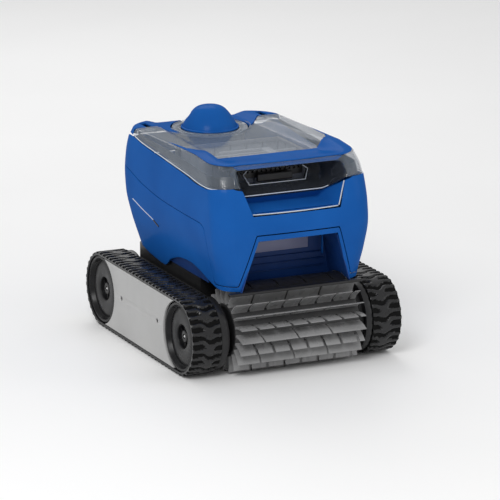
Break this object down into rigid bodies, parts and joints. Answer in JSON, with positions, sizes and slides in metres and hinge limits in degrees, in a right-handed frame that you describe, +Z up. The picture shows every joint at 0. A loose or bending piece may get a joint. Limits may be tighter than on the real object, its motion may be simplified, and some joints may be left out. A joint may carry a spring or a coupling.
{
  "type": "robotic pool cleaner",
  "caption": "Tracked robotic pool cleaner: belt-driven chassis, finned front brush, hinged clear lid over a filter basket and a cowled top outlet.",
  "frame": {"origin": "on the floor, under the middle of the machine's overall length and width", "axes": "+Z up, -Y the front where the brush is, +X to the right seen from the front"},
  "size_m": [0.36, 0.453, 0.3576],
  "materials": {
    "shell_blue": "deep blue moulded shell, satin gloss",
    "clear_plastic": "smoked clear polycarbonate, glossy",
    "panel_grey": "light silver-grey paint, satin",
    "black_plastic": "black moulded plastic, fine texture",
    "black_rubber": "black moulded rubber, matt",
    "brush_grey": "soft grey PVC, satin",
    "steel": "stainless steel",
    "filter_grey": "grey plastic frame with fine mesh",
    "foam": "closed-cell foam"
  },
  "bodies": {
    "chassis": {"axle_front_left": "steel", "axle_front_right": "steel", "axle_rear_left": "steel", "axle_rear_right": "steel", "base_pan": "black_plastic", "belt_left": "black_rubber", "belt_right": "black_rubber", "cable_gland": "black_rubber", "drive_motor_left": "black_plastic", "drive_motor_right": "black_plastic", "filter_basket": "filter_grey", "filter_handle": "black_plastic", "float_block": "foam", "front_deck": "black_plastic", "front_scoop": "shell_blue", "hood_lower": "shell_blue", "hood_upper": "shell_blue", "inlet_duct": "black_plastic", "lid_hinge_pin_left": "steel", "lid_hinge_pin_right": "steel", "motor_block": "black_plastic", "motor_cap": "black_plastic", "mouth_liner": "shell_blue", "outlet_cowl": "shell_blue", "outlet_duct": "black_plastic", "outlet_grille": "black_plastic", "panel_screw_left_front": "steel", "panel_screw_left_rear": "steel", "panel_screw_right_front": "steel", "panel_screw_right_rear": "steel", "rear_deck": "shell_blue", "shaft_seal": "black_rubber", "side_frame_left": "black_plastic", "side_frame_right": "black_plastic", "side_panel_left": "panel_grey", "side_panel_right": "panel_grey", "wheel_screw_front_left": "steel", "wheel_screw_front_right": "steel", "wheel_screw_rear_left": "steel", "wheel_screw_rear_right": "steel"},
    "lid": {"lid_clear": "clear_plastic", "lid_bezel": "shell_blue"},
    "lid_catch": {"lid_catch": "black_plastic"},
    "brush": {"brush_core": "black_plastic", "brush_sleeve": "brush_grey", "brush_pinion": "brush_grey"},
    "impeller": {"propeller": "black_plastic", "propeller_shaft": "steel"},
    "inlet_flap": {"inlet_flap": "black_rubber"},
    "drive_pinion_left": {"drive_pinion_left": "brush_grey"},
    "drive_pinion_right": {"drive_pinion_right": "brush_grey"},
    "wheel_front_left": {"wheel_front_left": "black_rubber", "wheel_flange_front_left": "black_plastic"},
    "wheel_front_right": {"wheel_front_right": "black_rubber", "wheel_flange_front_right": "black_plastic"},
    "wheel_rear_left": {"wheel_rear_left": "black_rubber", "wheel_flange_rear_left": "black_plastic"},
    "wheel_rear_right": {"wheel_rear_right": "black_rubber", "wheel_flange_rear_right": "black_plastic"}
  },
  "joints": [
    {"name": "lid_hinge", "type": "hinge", "parent": "chassis", "child": "lid", "pos_m": [0, 0.16057, 0.318], "axis": [-1, 0, 0], "range_deg": [0, 70]},
    {"name": "lid_catch_slide", "type": "slide", "parent": "lid", "child": "lid_catch", "axis": [0, 1, 0], "range_m": [0, 0.004], "stiffness_N_per_m": 300, "springref_m": -0.001},
    {"name": "wheel_rear_left_spin", "type": "hinge", "parent": "chassis", "child": "wheel_rear_left", "pos_m": [-0.155, 0.16506, 0.0614], "axis": [1, 0, 0], "continuous": true},
    {"name": "wheel_front_left_spin", "type": "hinge", "parent": "chassis", "child": "wheel_front_left", "pos_m": [-0.155, -0.14394, 0.0614], "axis": [1, 0, 0], "continuous": true},
    {"name": "drive_pinion_left_spin", "type": "hinge", "parent": "chassis", "child": "drive_pinion_left", "pos_m": [-0.1245, 0.14954, 0.06832], "axis": [1, 0, 0], "continuous": true},
    {"name": "wheel_rear_right_spin", "type": "hinge", "parent": "chassis", "child": "wheel_rear_right", "pos_m": [0.155, 0.16506, 0.0614], "axis": [1, 0, 0], "continuous": true},
    {"name": "wheel_front_right_spin", "type": "hinge", "parent": "chassis", "child": "wheel_front_right", "pos_m": [0.155, -0.14394, 0.0614], "axis": [1, 0, 0], "continuous": true},
    {"name": "drive_pinion_right_spin", "type": "hinge", "parent": "chassis", "child": "drive_pinion_right", "pos_m": [0.1245, 0.14954, 0.06832], "axis": [1, 0, 0], "continuous": true},
    {"name": "brush_spin", "type": "hinge", "parent": "chassis", "child": "brush", "pos_m": [0, -0.15946, 0.06832], "axis": [1, 0, 0], "continuous": true},
    {"name": "impeller_spin", "type": "hinge", "parent": "chassis", "child": "impeller", "pos_m": [0, 0.13056, 0.29], "axis": [0, 0, 1], "continuous": true},
    {"name": "inlet_flap_hinge", "type": "hinge", "parent": "chassis", "child": "inlet_flap", "pos_m": [0, -0.01393, 0.1777], "axis": [-1, 0, 0], "range_deg": [0, 60]}
  ],
  "couplings": [
    {"joint": "wheel_front_left_spin", "follows": "wheel_rear_left_spin", "ratio": 1},
    {"joint": "wheel_front_right_spin", "follows": "wheel_rear_right_spin", "ratio": 1},
    {"joint": "drive_pinion_left_spin", "follows": "wheel_rear_left_spin", "ratio": 3.125},
    {"joint": "drive_pinion_right_spin", "follows": "wheel_rear_right_spin", "ratio": 3.125},
    {"joint": "brush_spin", "follows": "wheel_rear_right_spin", "ratio": 3.125}
  ]
}
